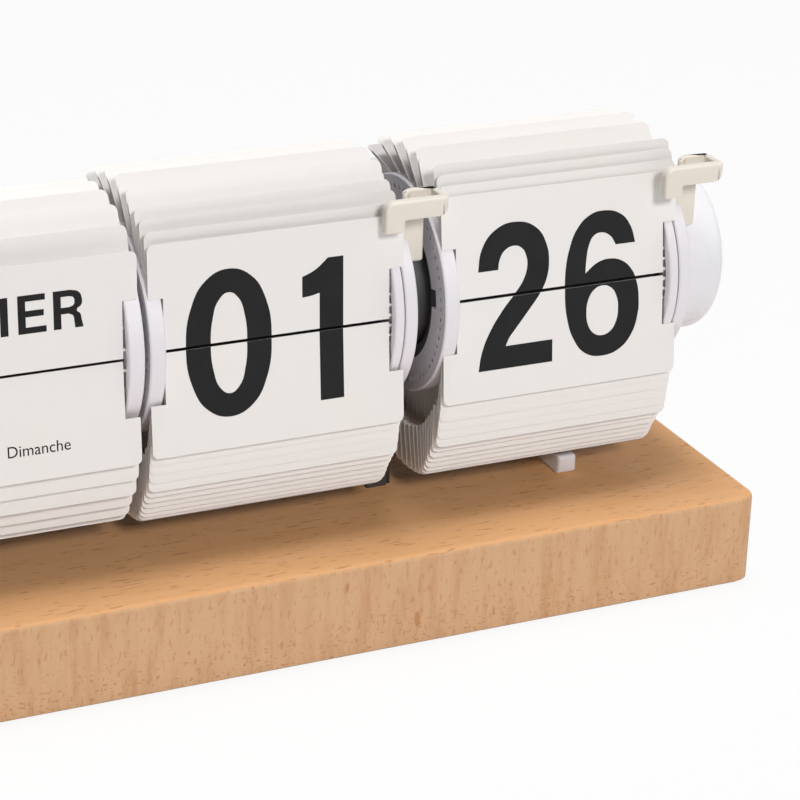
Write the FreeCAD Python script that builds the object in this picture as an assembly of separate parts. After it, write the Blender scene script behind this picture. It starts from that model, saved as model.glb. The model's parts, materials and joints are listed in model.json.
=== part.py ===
import FreeCAD
import Part
import math
import os
from FreeCAD import Placement, Rotation, Vector

# Desk clock with calendar: four card drums in a row on one fixed shaft, over a beech plank.
# Millimetres, +Z up. X runs along the row and the cards are read from -Y.
# The origin is the middle of the underside.

# Driving sizes of the row and its base
number_card_width = 70.0
month_card_width = 79.0
drum_gap = 11.6
centre_gap = 2.8
end_margin = 20.8
base_depth = 91.0
base_thickness = 26.5
base_corner = 5.5
base_edge_round = 1.6
pad_thickness = 0.8
pad_inset = 1.2

# Cards: the pins sit so far above a card's lower edge that two neighbours leave the split gap between them
card_height = 27.9
split_gap = 0.85
card_thickness = 0.15
card_corner = 1.8
card_floor_clearance = 5.662
notch_depth = 4.0
notch_clearance = 0.2
pin_radius = 0.45
front_lean = 5.2
# A hanging card's pivot has sunk so far below the drum's middle, and the card leans so far to the front
hanging_leans = ((-15.0, 1.2), (0.0, 1.2), (15.0, 0.9), (20.0, 2.0), (27.0, 3.6), (32.5, 0.8), (45.0, 2.3),
                 (50.0, 4.6), (56.0, 7.4), (62.0, 9.8), (68.0, 11.8), (80.0, 13.0), (90.0, 12.0),
                 (105.0, 8.0), (135.0, 0.0), (180.0, -2.5))

# Wheels, sleeve and end plate
sleeve_to_pivots = 5.5
pivots_to_rim = 3.2
wheel_chamfer = 0.35
wheel_overhang = 0.7
wheel_notch_gap = 0.5
inner_wheel_inset = 0.8
pivot_hole_radius = 0.6
groove_clearance = 0.3
pin_reach = 1.4
sleeve_wall = 3.2
ring_gear_wall = 2.56
sleeve_recess = 1.2
key_width = 5.0
key_depth = 2.6
key_angle = 8.0
web_thickness = 3.0
hub_wall = 3.0
plate_gap = 0.3
plate_reach = 3.0

# Fixed shaft and stand
shaft_radius = 4.0
running_clearance = 0.05
pillar_thickness = 4.0
pillar_width = 20.0
pillar_post_front = 4.0
pillar_plate_drop = 30.0
pillar_foot_front = 2.0
foot_width = 5.8
foot_height = 5.4
foot_front = 13.0
foot_place = 47.25
rail_front = 24.0
rail_depth = 8.0
foot_screw_radius = 1.2
foot_screw_head = 2.0
foot_screw_head_height = 1.6
foot_screw_floor = 1.0
foot_screw_inset = 20.0
plate_screw_radius = 1.2
plate_screw_head = 2.2
plate_screw_head_height = 1.2
plate_screw_spread = 6.0
plate_screw_drop = 22.0
plate_screw_floor = 1.0
pillar_screw_gap = 1.0

# Retaining clip, from the card's outer edge and from the card's height
clip_tip_reach = 7.2
clip_tip_width = 5.6
clip_tip_lap = 1.25
clip_bar_rise = 1.95
clip_over_card = 7.15
clip_thickness = 3.05
clip_card_gap = 0.375
clip_end_gap = 0.5
clip_depth = 10.4
clip_wall = 1.8
clip_side_gap = 0.4
clip_curl = 3.8
clip_curl_run = 5.0
clip_curl_bulge = 0.28
clip_stem_width = 7.3
clip_stem_rise = 1.0
clip_stem_lap = 15.7
clip_tip_round = 2.6
clip_end_round = 3.0
clip_front_corner = 2.2
clip_back_corner = 3.4

# Gearing
shaft_gear_gap = 0.2
ring_teeth = 36
pinion_teeth = 12
tooth_tip = 0.75
tooth_root = 1.05
pressure_angle = math.radians(20.0)
backlash = 0.14
arbor_radius = 1.5
gear_width = 5.0
bearing_depth = 2.0
arbor_end_play = 0.6

# Knobs
knob_rim_wall = 7.96
knob_gap = 0.4
knob_length = 15.0
knob_face_wall = 9.2
knob_edge_round = 4.0
knob_inner_round = 1.0
knob_well_depth = 4.2
knob_well_play = 0.4
knob_screw_radius = 1.5
knob_screw_lap = 0.8
knob_screw_head_height = 2.0
knob_screw_length = 10.0
knob_screw_play = 0.1

# Movement, cells and lead
case_clearance = 1.5
case_wall = 1.5
case_length = 18.6
motor_play = 0.6
motor_length = 10.0
arbor_run = 9.0
minute_arbor_angle = 70.0
hour_arbor_angle = 250.0
knob_arbor_angle = 270.0
cell_radius = 7.1
cell_length = 49.5
cell_nub_radius = 2.7
cell_nub_length = 1.0
cell_spacing = 1.4
cell_gap = 0.3
contact_thickness = 0.4
contact_width = 9.0
contact_drop = 4.0
pocket_margin = 1.2
cover_thickness = 1.6
cover_lip = 5.0
cover_play = 0.2
cover_screw_radius = 1.1
cover_screw_length = 6.0
lead_radius = 0.8
lead_hole_play = 0.2
lead_overrun = 0.5

# How far a cutting shape runs past what it cuts
cut_margin = 1.0

# Sizes that follow: the gears clear the shaft, the sleeve holds the ring gears, the wheels sit on the sleeve
gear_span = ring_teeth / 2 - pinion_teeth
gear_module = (shaft_radius + shaft_gear_gap) / (gear_span - tooth_tip)
ring_pitch_radius = gear_module * ring_teeth / 2
ring_root_radius = ring_pitch_radius + gear_module * tooth_root
pinion_pitch_radius = gear_module * pinion_teeth / 2
arbor_distance = ring_pitch_radius - pinion_pitch_radius
sleeve_bore = ring_root_radius + ring_gear_wall
sleeve_radius = sleeve_bore + sleeve_wall
pivot_radius = sleeve_radius + sleeve_to_pivots
wheel_radius = pivot_radius + pivots_to_rim
hub_radius = shaft_radius + hub_wall


def card_tail(cards):
    return pivot_radius * math.sin(math.pi / cards) - split_gap / 2


case_radius = sleeve_bore - case_clearance
motor_radius = case_radius - case_wall - motor_play
motor_bore = shaft_radius + motor_play
knob_start = plate_reach + knob_gap
knob_radius = ring_root_radius + knob_rim_wall
knob_screw_head = shaft_radius + knob_screw_lap
knob_well_radius = knob_screw_head + knob_well_play
cell_pitch = 2 * cell_radius + cell_spacing
clip_back_of_tip = pivot_radius + card_thickness / 2 + clip_card_gap
clip_front = clip_back_of_tip + clip_thickness
clip_back = clip_front - clip_depth
card_reach = card_height - card_tail(60)
clip_top = card_reach + clip_over_card
clip_tip_bottom = card_reach - clip_tip_lap
clip_bar_bottom = card_reach + clip_bar_rise
clip_end_reach = drum_gap - clip_end_gap
clip_stem_foot = wheel_radius - clip_stem_lap

# Places that follow
axis_height = base_thickness + card_floor_clearance + card_reach + pivot_radius
row_length = 3 * number_card_width + month_card_width + 2 * drum_gap + centre_gap
base_length = row_length + 2 * end_margin
date_start = -row_length / 2
month_start = date_start + number_card_width + drum_gap
hour_start = month_start + month_card_width + centre_gap
minute_start = hour_start + number_card_width + drum_gap
outer_wheel_width = wheel_overhang + notch_depth - wheel_notch_gap
far_notch = notch_depth - wheel_notch_gap
case_start = hour_start + number_card_width + plate_reach + pillar_thickness
case_stop = case_start + case_length
minute_pinion_start = case_stop + arbor_run - gear_width
hub_length = number_card_width - 2 * (case_stop + arbor_run - minute_start)

# side is +1 where the end plate and clip are on the right, -1 where they are on the left.
# start_angle is how far the front card's pivot has climbed above the drum's middle.
# A lift is how far a card leans out from its wheel: the front card, the next ones, then the rest in turn.
DRUMS = {
    "date": {"start": date_start, "width": number_card_width, "side": -1, "cards": 31, "holes": 62,
             "start_angle": 7.0, "flip_lift": 4.5, "next_lifts": (), "fan_lifts": (1.6,)},
    "month": {"start": month_start, "width": month_card_width, "side": -1, "cards": 30, "holes": 60,
              "start_angle": 6.0, "flip_lift": 4.0, "next_lifts": (), "fan_lifts": (1.6,)},
    "hour": {"start": hour_start, "width": number_card_width, "side": 1, "cards": 60, "holes": 60,
             "start_angle": 4.7, "flip_lift": 2.0, "next_lifts": (4.0, 3.4, 3.4), "fan_lifts": (2.0, 7.0)},
    "minute": {"start": minute_start, "width": number_card_width, "side": 1, "cards": 60, "holes": 60,
               "start_angle": 9.7, "flip_lift": 2.0, "next_lifts": (6.7, 10.6, 14.6), "fan_lifts": (2.0, 7.0)},
}

parts = {}


def box(x0, x1, y0, y1, z0, z1):
    return Part.makeBox(x1 - x0, y1 - y0, z1 - z0, Vector(x0, y0, z0))


def rod(x0, x1, radius, y=0.0, z=0.0):
    return Part.makeCylinder(radius, x1 - x0, Vector(x0, y, z), Vector(1, 0, 0))


def tube(x0, x1, outer, inner):
    return rod(x0, x1, outer).cut(rod(x0, x1, inner))


def peg(x, y, z0, z1, radius):
    return Part.makeCylinder(radius, z1 - z0, Vector(x, y, z0), Vector(0, 0, 1))


def polar(radius, degrees):
    angle = math.radians(degrees)
    return -radius * math.cos(angle), radius * math.sin(angle)


def circle_edges(shape, radius):
    return [edge for edge in shape.Edges
            if hasattr(edge.Curve, "Radius") and abs(edge.Curve.Radius - radius) < 1e-6 and edge.isClosed()]


# Cards, made flat with the pivot line on the local X axis and the card standing up along Z
def notch_height(drum):
    hanging_lift = front_lean - drum["start_angle"] + 360 / drum["cards"]
    least = math.radians(min(hanging_lift, drum["flip_lift"], *drum["fan_lifts"], *drum["next_lifts"]))
    to_rim = math.sqrt(wheel_radius ** 2 - (pivot_radius * math.cos(least)) ** 2)
    return to_rim - pivot_radius * math.sin(least) + notch_clearance


def card_outline(drum):
    width = drum["width"]
    left = notch_depth
    right = width - notch_depth
    bottom = -card_tail(drum["cards"])
    top = card_height + bottom
    shoulder = notch_height(drum)
    corner = card_corner
    bend = corner * (1 - math.sqrt(0.5))

    def line(start, stop):
        return Part.LineSegment(Vector(start[0], 0, start[1]), Vector(stop[0], 0, stop[1])).toShape()

    right_side = [(left, bottom), (right, bottom), (right, shoulder), (width, shoulder),
                  (width, top - corner)]
    left_side = [(0, top - corner), (0, shoulder), (left, shoulder), (left, bottom)]
    edges = [line(start, stop) for start, stop in zip(right_side, right_side[1:])]
    edges.append(Part.Arc(Vector(width, 0, top - corner), Vector(width - bend, 0, top - bend),
                          Vector(width - corner, 0, top)).toShape())
    edges.append(line((width - corner, top), (corner, top)))
    edges.append(Part.Arc(Vector(corner, 0, top), Vector(bend, 0, top - bend),
                          Vector(0, 0, top - corner)).toShape())
    edges += [line(start, stop) for start, stop in zip(left_side, left_side[1:])]
    return Part.Wire(edges)


def card_blank(drum):
    sheet = Part.Face(card_outline(drum)).extrude(Vector(0, card_thickness, 0))
    sheet.translate(Vector(0, -card_thickness / 2, 0))
    left_pin = rod(notch_depth - pin_reach, notch_depth, pin_radius)
    right_end = drum["width"] - notch_depth
    right_pin = rod(right_end, right_end + pin_reach, pin_radius)
    return sheet.fuse([left_pin, right_pin])


def place_card(blank, pivot, direction):
    card = blank.copy()
    turn = math.degrees(math.atan2(-direction[0], direction[1]))
    card.Placement = Placement(Vector(0, pivot[0], pivot[1]), Rotation(Vector(1, 0, 0), turn))
    return card


def raised_card(blank, angle, lift):
    along = math.radians(angle)
    raise_by = math.radians(lift)
    across = (math.sin(along), math.cos(along))
    outward = (-math.cos(along), math.sin(along))
    direction = tuple(math.cos(raise_by) * a + math.sin(raise_by) * o for a, o in zip(across, outward))
    return place_card(blank, polar(pivot_radius, angle), direction)


def hanging_lean(sunk):
    for (low, low_lean), (high, high_lean) in zip(hanging_leans, hanging_leans[1:]):
        if sunk <= high:
            return low_lean + (high_lean - low_lean) * (sunk - low) / (high - low)


def hanging_card(blank, angle, degrees):
    lean = math.radians(degrees)
    return place_card(blank, polar(pivot_radius, angle), (-math.sin(lean), -math.cos(lean)))


def card_lift(drum, index):
    following = drum["next_lifts"]
    if index <= len(following):
        return following[index - 1]
    return drum["fan_lifts"][(index - len(following) - 1) % len(drum["fan_lifts"])]


def card_sets(drum):
    blank = card_blank(drum)
    count = drum["cards"]
    first = drum["start_angle"]
    front = raised_card(blank, first, drum["flip_lift"])
    raised = []
    hanging = []
    for index in range(1, count):
        angle = first + index * 360 / count
        if angle < 180:
            raised.append(raised_card(blank, angle, card_lift(drum, index)))
        else:
            lean = front_lean if index == count - 1 else hanging_lean(360 - angle)
            hanging.append(hanging_card(blank, angle, lean))
    return front, raised, hanging


# Wheels: a ring of pivot holes, with a channel on the card side that the pins run in
def wheel(drum, x0, x1, channel_at_high_end):
    outer = Part.Wire(Part.Circle(Vector(x0, 0, 0), Vector(1, 0, 0), wheel_radius).toShape())
    bore = Part.Wire(Part.Circle(Vector(x0, 0, 0), Vector(1, 0, 0), sleeve_radius).toShape())
    holes = []
    for index in range(drum["holes"]):
        y, z = polar(pivot_radius, drum["start_angle"] + index * 360 / drum["holes"])
        circle = Part.Circle(Vector(x0, y, z), Vector(1, 0, 0), pivot_hole_radius)
        holes.append(Part.Wire(circle.toShape()))
    face = Part.makeFace([outer, bore] + holes, "Part::FaceMakerBullseye")
    body = face.extrude(Vector(x1 - x0, 0, 0))
    depth = pin_reach - wheel_notch_gap + groove_clearance
    half = pin_radius + groove_clearance
    low = x1 - depth if channel_at_high_end else x0
    channel = tube(low, low + depth, pivot_radius + half, pivot_radius - half)
    body = body.cut(channel)
    body = body.cut(key_block(x0, x1))
    return body.makeChamfer(wheel_chamfer, circle_edges(body, wheel_radius))


def key_block(x0, x1):
    block = box(x0, x1, -sleeve_radius - key_depth, -sleeve_bore - sleeve_wall / 2,
                -key_width / 2, key_width / 2)
    block.rotate(Vector(0, 0, 0), Vector(1, 0, 0), -key_angle)
    return block


def sleeve(x0, x1, web_centre):
    body = tube(x0, x1, sleeve_radius, sleeve_bore)
    web = tube(web_centre - web_thickness / 2, web_centre + web_thickness / 2, sleeve_bore, hub_radius)
    hub = tube(web_centre - hub_length / 2, web_centre + hub_length / 2, hub_radius,
               shaft_radius + running_clearance)
    return body.fuse([web, hub])


# Gears, as involute outlines cut off at the tip and root circles
def involute(angle):
    return math.tan(angle) - angle


def half_tooth(radius, pitch_radius, teeth, widening):
    base_radius = pitch_radius * math.cos(pressure_angle)
    at_radius = math.acos(min(1.0, base_radius / radius))
    half = math.pi / (2 * teeth) + widening / (2 * pitch_radius)
    return half + involute(pressure_angle) - involute(at_radius)


def tooth_ring(teeth, low, high, widening, tooth_angle):
    pitch_radius = gear_module * teeth / 2
    flank = [low + (high - low) * step / 4 for step in range(5)]
    points = []
    for index in range(teeth):
        middle = math.radians(tooth_angle) + 2 * math.pi * index / teeth
        spread = [(radius, half_tooth(radius, pitch_radius, teeth, widening)) for radius in flank]
        for radius, half in spread:
            points.append((radius, middle - half))
        for radius, half in reversed(spread):
            points.append((radius, middle + half))
    corners = [Vector(0, -radius * math.cos(angle), radius * math.sin(angle)) for radius, angle in points]
    return Part.makePolygon(corners + [corners[0]])


def toothed_hole(tooth_angle):
    low = ring_pitch_radius - tooth_tip * gear_module
    return Part.Face(tooth_ring(ring_teeth, low, ring_root_radius, backlash, tooth_angle))


def ring_gear(x0, tooth_angle):
    hole = toothed_hole(tooth_angle).extrude(Vector(gear_width, 0, 0))
    hole.translate(Vector(x0, 0, 0))
    return rod(x0, x0 + gear_width, sleeve_bore).cut(hole)


def pinion(x0, x1, direction):
    low = pinion_pitch_radius - tooth_root * gear_module
    high = pinion_pitch_radius + tooth_tip * gear_module
    outline = tooth_ring(pinion_teeth, low, high, -backlash, direction)
    teeth = Part.Face(outline).extrude(Vector(x1 - x0, 0, 0))
    y, z = polar(arbor_distance, direction)
    teeth.translate(Vector(x0, y, z))
    return teeth


def arbor(x0, x1, direction, radius=arbor_radius):
    y, z = polar(arbor_distance, direction)
    return rod(x0, x1, radius, y, z)


# Retaining clip: a bar in front of the card's outer top corner, bent round to a stem on the end plate
def clip_plan():
    near = clip_side_gap
    end = clip_end_reach
    front = -clip_front
    back = -clip_back
    curl_end = back - clip_curl
    curl_start = near + clip_curl_run
    curl_middle = (near + clip_curl_run * clip_curl_bulge, back - clip_curl * clip_curl_bulge)
    corner = clip_front_corner
    turn = clip_back_corner
    corner_bend = corner * (1 - math.sqrt(0.5))
    turn_bend = turn * (1 - math.sqrt(0.5))

    def line(start, stop):
        return Part.LineSegment(Vector(*start, 0), Vector(*stop, 0)).toShape()

    def arc(start, through, stop):
        return Part.Arc(Vector(*start, 0), Vector(*through, 0), Vector(*stop, 0)).toShape()

    tip_front = (-clip_tip_reach, front)
    tip_back = (-clip_tip_reach, -clip_back_of_tip)
    hollow_front = (end - clip_wall, -clip_back_of_tip)
    hollow_back = (end - clip_wall, back - clip_wall)
    inner_start = (curl_start, back - clip_wall)
    inner_end = (near + clip_wall, curl_end)
    inner_middle = (curl_middle[0] + clip_wall * math.sqrt(0.5), curl_middle[1] - clip_wall * math.sqrt(0.5))
    return Part.Wire([
        line(tip_front, (end - corner, front)),
        arc((end - corner, front), (end - corner_bend, front + corner_bend), (end, front + corner)),
        line((end, front + corner), (end, back - turn)),
        arc((end, back - turn), (end - turn_bend, back - turn_bend), (end - turn, back)),
        line((end - turn, back), (curl_start, back)),
        arc((curl_start, back), curl_middle, (near, curl_end)),
        line((near, curl_end), inner_end),
        arc(inner_end, inner_middle, inner_start),
        line(inner_start, hollow_back),
        line(hollow_back, hollow_front),
        line(hollow_front, tip_back),
        line(tip_back, tip_front)])


def corner_waste(x, z, radius, inward_x, inward_z):
    before = -clip_front - cut_margin
    middle_x = x + inward_x * radius
    middle_z = z + inward_z * radius
    x0, x1 = sorted((x - inward_x * cut_margin, middle_x))
    z0, z1 = sorted((z - inward_z * cut_margin, middle_z))
    keep = Part.makeCylinder(radius, -before, Vector(middle_x, before, middle_z), Vector(0, 1, 0))
    return box(x0, x1, before, 0, z0, z1).cut(keep)


def clip(width):
    bar = Part.Face(clip_plan()).extrude(Vector(0, 0, clip_top - clip_tip_bottom))
    bar.translate(Vector(width, 0, clip_tip_bottom))
    tip = width - clip_tip_reach
    end = width + clip_end_reach
    under = box(tip + clip_tip_width, end + cut_margin, -clip_front - cut_margin, 0,
                clip_tip_bottom - cut_margin, clip_bar_bottom)
    tip_waste = corner_waste(tip, clip_top, clip_tip_round, 1, -1)
    end_waste = corner_waste(end, clip_bar_bottom, clip_end_round, -1, 1)
    return bar.cut(under).cut(tip_waste).cut(end_waste).fuse(clip_stem(width, clip_bar_bottom + clip_stem_rise))


def clip_stem(width, top):
    x0 = width + clip_side_gap
    return box(x0, x0 + clip_stem_width, -clip_back - clip_wall, -clip_back, clip_stem_foot, top)


def end_plate(width):
    x0 = width - inner_wheel_inset + plate_gap
    plate = tube(x0, width + plate_reach, wheel_radius, shaft_radius)
    plate = plate.makeChamfer(wheel_chamfer, circle_edges(plate, wheel_radius))
    return plate.cut(clip_stem(width, wheel_radius + cut_margin))


def knob_well(width):
    start = width + knob_start
    low = start + knob_length - knob_face_wall
    hole = toothed_hole(knob_arbor_angle).extrude(Vector(low - start, 0, 0))
    hole.translate(Vector(start, 0, 0))
    return hole


def knob(width):
    start = width + knob_start
    stop = start + knob_length
    body = rod(start, stop, knob_radius)
    for rounding, x in ((knob_inner_round, start), (knob_edge_round, stop)):
        rim = [edge for edge in circle_edges(body, knob_radius) if abs(edge.CenterOfMass.x - x) < 1e-6]
        body = body.makeFillet(rounding, rim)
    body = body.cut(knob_well(width))
    body = body.cut(rod(start, stop, shaft_radius + running_clearance))
    return body.cut(rod(stop - knob_well_depth, stop, knob_well_radius))


def knob_screw(width):
    seat = width + knob_start + knob_length - knob_well_depth + knob_screw_play
    head = rod(seat, seat + knob_screw_head_height, knob_screw_head)
    shank = rod(seat - knob_screw_play - knob_screw_length, seat, knob_screw_radius)
    return head.fuse(shank)


def knob_arbor(width):
    stop = width + knob_start + knob_length - knob_face_wall - arbor_end_play
    start = width - far_notch - gear_width
    shaft = arbor(start, stop, knob_arbor_angle)
    drum_pinion = pinion(start, width - far_notch, knob_arbor_angle)
    own_pinion = pinion(width + knob_start + arbor_end_play, stop, knob_arbor_angle)
    return [shaft.fuse([drum_pinion, own_pinion])]


# Local drum shapes have the drum's far end at x = 0 and its end plate past x = width
def placed(shapes, drum):
    moved = []
    for shape in shapes:
        copy = shape.copy()
        if drum["side"] < 0:
            copy = copy.mirror(Vector(drum["width"] / 2, 0, 0), Vector(1, 0, 0))
        copy.translate(Vector(drum["start"], 0, axis_height))
        moved.append(copy)
    return moved


def put(name, shapes, drum):
    parts[name] = placed(shapes, drum)


def build_drum(name, drum):
    width = drum["width"]
    front, raised, hanging = card_sets(drum)
    put(name + "_flip_card", [front], drum)
    put(name + "_upper_cards", raised, drum)
    put(name + "_lower_cards", hanging, drum)
    outer_wheel = wheel(drum, -wheel_overhang, outer_wheel_width - wheel_overhang, True)
    inner_wheel = wheel(drum, width - far_notch, width - inner_wheel_inset, False)
    put(name + "_outer_wheel", [outer_wheel], drum)
    put(name + "_plate_side_wheel", [inner_wheel], drum)
    tube_body = sleeve(sleeve_recess - wheel_overhang, width - inner_wheel_inset, width / 2)
    keys = [key_block(sleeve_recess - wheel_overhang, outer_wheel_width - wheel_overhang),
            key_block(width - far_notch, width - inner_wheel_inset)]
    tube_body = tube_body.fuse(keys)
    put(name + "_sleeve", [tube_body], drum)
    plate = end_plate(width)
    put(name + "_clip", [clip(width)], drum)
    return plate


def build_knob_end(name, drum, plate):
    width = drum["width"]
    bearing = arbor(width - far_notch, width + plate_reach + cut_margin, knob_arbor_angle,
                    arbor_radius + running_clearance)
    plate = plate.cut(bearing)
    put(name + "_end_plate", [plate], drum)
    put(name + "_knob", [knob(width)], drum)
    put(name + "_knob_arbor", knob_arbor(width), drum)
    put(name + "_knob_ring_gear", [ring_gear(width - far_notch - gear_width, knob_arbor_angle)], drum)


def foot_bar(x_middle, y_front):
    half = foot_width / 2
    return box(x_middle - half, x_middle + half, y_front, rail_front, base_thickness,
               base_thickness + foot_height)


def foot_screw(x, y):
    top = base_thickness + foot_height
    head = peg(x, y, top - foot_screw_head_height, top, foot_screw_head)
    shank = peg(x, y, top - foot_screw_length, top - foot_screw_head_height, foot_screw_radius)
    return head.fuse(shank)


def pillar(x0, x1):
    middle = (x0 + x1) / 2
    half = pillar_width / 2
    plate = box(x0, x1, -half, half, axis_height - pillar_plate_drop, axis_height)
    post = box(x0, x1, pillar_post_front, half, base_thickness, axis_height)
    crown = rod(x0, x1, half, 0, axis_height)
    return plate.fuse([post, crown, foot_bar(middle, -pillar_foot_front)]).removeSplitter()


def plate_screws(head_face, away):
    screws = []
    for y in (-plate_screw_spread, plate_screw_spread):
        z = axis_height - plate_screw_drop
        head_low, head_high = sorted((head_face, head_face + away * plate_screw_head_height))
        tip = head_face - away * (pillar_thickness + plate_reach - plate_screw_floor)
        shank_low, shank_high = sorted((head_face, tip))
        screws.append(rod(head_low, head_high, plate_screw_head, y, z)
                      .fuse(rod(shank_low, shank_high, plate_screw_radius, y, z)))
    return screws


# The four drums and their end plates
plates = {name: build_drum(name, drum) for name, drum in DRUMS.items()}
knob_screws = []
for name in ("minute", "date"):
    build_knob_end(name, DRUMS[name], plates[name])
    knob_screws += placed([knob_screw(number_card_width)], DRUMS[name])
parts["knob_screws"] = knob_screws

# The hour drum is driven through its end plate
hour_width = DRUMS["hour"]["width"]
hour_ring_start = hour_width - far_notch - gear_width
put("hour_end_plate", [plates["hour"]], DRUMS["hour"])
put("month_end_plate", [plates["month"]], DRUMS["month"])
put("hour_ring_gear", [ring_gear(hour_ring_start, hour_arbor_angle)], DRUMS["hour"])

# Pillars stand in the two wide gaps, against the end plates
right_pillar_face = hour_start + number_card_width + plate_reach
right_pillar_end = right_pillar_face + pillar_thickness
left_pillar_face = month_start - plate_reach
left_pillar_end = left_pillar_face - pillar_thickness
right_pillar = pillar(right_pillar_face, right_pillar_end)
left_pillar = pillar(left_pillar_end, left_pillar_face)

# Shaft from one knob to the other, carried by the pillars
shaft_stop = minute_start + number_card_width + knob_start + knob_length - knob_well_depth
main_shaft = rod(-shaft_stop, shaft_stop, shaft_radius, 0, axis_height)
for screw in knob_screws:
    main_shaft = main_shaft.cut(screw)
parts["main_shaft"] = [main_shaft]

# Movement in the near half of the minute drum
motor_start = case_start + case_wall
motor_stop = motor_start + motor_length


def on_axis(shape):
    shape.translate(Vector(0, 0, axis_height))
    return shape


minute_arbor_low = motor_stop - bearing_depth
hour_arbor_high = motor_start + bearing_depth
hour_pinion_start = hour_start + hour_ring_start
bearing_radius = arbor_radius + running_clearance
minute_bearing = on_axis(arbor(minute_arbor_low, case_stop, minute_arbor_angle, bearing_radius))
hour_bearing = on_axis(arbor(hour_pinion_start + gear_width, hour_arbor_high, hour_arbor_angle,
                             bearing_radius))
case = on_axis(tube(case_start, case_stop, case_radius, case_radius - case_wall))
case_floor = on_axis(tube(case_start, case_start + case_wall, case_radius - case_wall, shaft_radius))
case = case.fuse(case_floor)
cover = on_axis(tube(case_stop - case_wall, case_stop, case_radius - case_wall, shaft_radius))
motor = on_axis(tube(motor_start, motor_stop, motor_radius, motor_bore))
minute_shaft = arbor(minute_arbor_low, minute_pinion_start + gear_width, minute_arbor_angle)
minute_pinion = pinion(minute_pinion_start, minute_pinion_start + gear_width, minute_arbor_angle)
hour_shaft = arbor(hour_pinion_start, hour_arbor_high, hour_arbor_angle)
hour_pinion = pinion(hour_pinion_start, hour_pinion_start + gear_width, hour_arbor_angle)
lead_x = right_pillar_end + (minute_start - wheel_overhang - right_pillar_end) / 2
case_bottom = axis_height - case_radius

# Cells under a cover in the underside of the base
pocket_half_x = cell_length / 2 + cell_nub_length + contact_thickness + pocket_margin
pocket_half_y = cell_pitch / 2 + cell_radius + pocket_margin
cell_floor = pad_thickness + cover_thickness + cell_gap
pocket_top = cell_floor + 2 * cell_radius + cell_gap
foot_screw_length = foot_height + base_thickness - pocket_top - foot_screw_floor
cover_half_x = pocket_half_x + cover_lip
cover_half_y = pocket_half_y + cover_lip
lead = peg(lead_x, 0, pocket_top, case_bottom + case_wall + lead_overrun, lead_radius)
lead_hole = peg(lead_x, 0, pocket_top - cut_margin, case_bottom - cut_margin, lead_radius + lead_hole_play)

motor = motor.cut(minute_bearing).cut(hour_bearing)
parts["geared_motor"] = [motor]
parts["movement_case"] = [case.cut(hour_bearing).cut(lead)]
parts["movement_cover"] = [cover.cut(minute_bearing)]
parts["minute_arbor"] = [on_axis(minute_shaft.fuse(minute_pinion))]
parts["hour_arbor"] = [on_axis(hour_shaft.fuse(hour_pinion))]
put("minute_ring_gear", [ring_gear(minute_pinion_start - minute_start, minute_arbor_angle)], DRUMS["minute"])
parts["hour_end_plate"] = [parts["hour_end_plate"][0].cut(hour_bearing)]
right_pillar = right_pillar.cut(hour_bearing).cut(lead_hole)

# Screws from each pillar into its end plate
right_screws = plate_screws(right_pillar_end, 1)
left_screws = plate_screws(left_pillar_end, -1)
shaft_hole = rod(-shaft_stop, shaft_stop, shaft_radius, 0, axis_height)
right_pillar = right_pillar.cut(shaft_hole)
left_pillar = left_pillar.cut(shaft_hole)
for solid in right_screws:
    right_pillar = right_pillar.cut(solid)
    parts["hour_end_plate"] = [parts["hour_end_plate"][0].cut(solid)]
for solid in left_screws:
    left_pillar = left_pillar.cut(solid)
    parts["month_end_plate"] = [parts["month_end_plate"][0].cut(solid)]
parts["plate_screws"] = right_screws + left_screws

# Stand: a rail along the back, two outer feet and the pillars' own feet, screwed down
outer_foot_x = minute_start + foot_place
rail_half = outer_foot_x + foot_width / 2
rail = box(-rail_half, rail_half, rail_front, rail_front + rail_depth, base_thickness,
           base_thickness + foot_height)
feet = [foot_bar(-outer_foot_x, -foot_front), foot_bar(outer_foot_x, -foot_front)]
right_pillar_x = (right_pillar_face + right_pillar_end) / 2
left_pillar_x = (left_pillar_face + left_pillar_end) / 2
front_screw_y = -foot_front + foot_screw_inset
back_screw_y = rail_front + rail_depth / 2
pillar_screw_y = pillar_width / 2 + foot_screw_head + pillar_screw_gap
foot_screws = [foot_screw(x, front_screw_y) for x in (-outer_foot_x, outer_foot_x)]
foot_screws += [foot_screw(x, back_screw_y)
                for x in (-outer_foot_x, outer_foot_x, left_pillar_x, right_pillar_x)]
foot_screws += [foot_screw(x, pillar_screw_y) for x in (left_pillar_x, right_pillar_x)]

# Beech plank with rounded edges, over a thin pad
half_length = base_length / 2
half_depth = base_depth / 2
plank = box(-half_length, half_length, -half_depth, half_depth, pad_thickness, base_thickness)
plank_height = base_thickness - pad_thickness
uprights = [edge for edge in plank.Edges if abs(edge.BoundBox.ZLength - plank_height) < 1e-6]
plank = plank.makeFillet(base_corner, uprights)
rims = [edge for edge in plank.Edges
        if edge.BoundBox.ZLength < 1e-6 and abs(edge.BoundBox.ZMin - base_thickness) < 1e-6]
plank = plank.makeFillet(base_edge_round, rims)
pad = box(-half_length + pad_inset, half_length - pad_inset, -half_depth + pad_inset, half_depth - pad_inset,
          0, pad_thickness)
pad_edges = [edge for edge in pad.Edges if abs(edge.BoundBox.ZLength - pad_thickness) < 1e-6]
pad = pad.makeFillet(base_corner - pad_inset, pad_edges)

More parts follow.
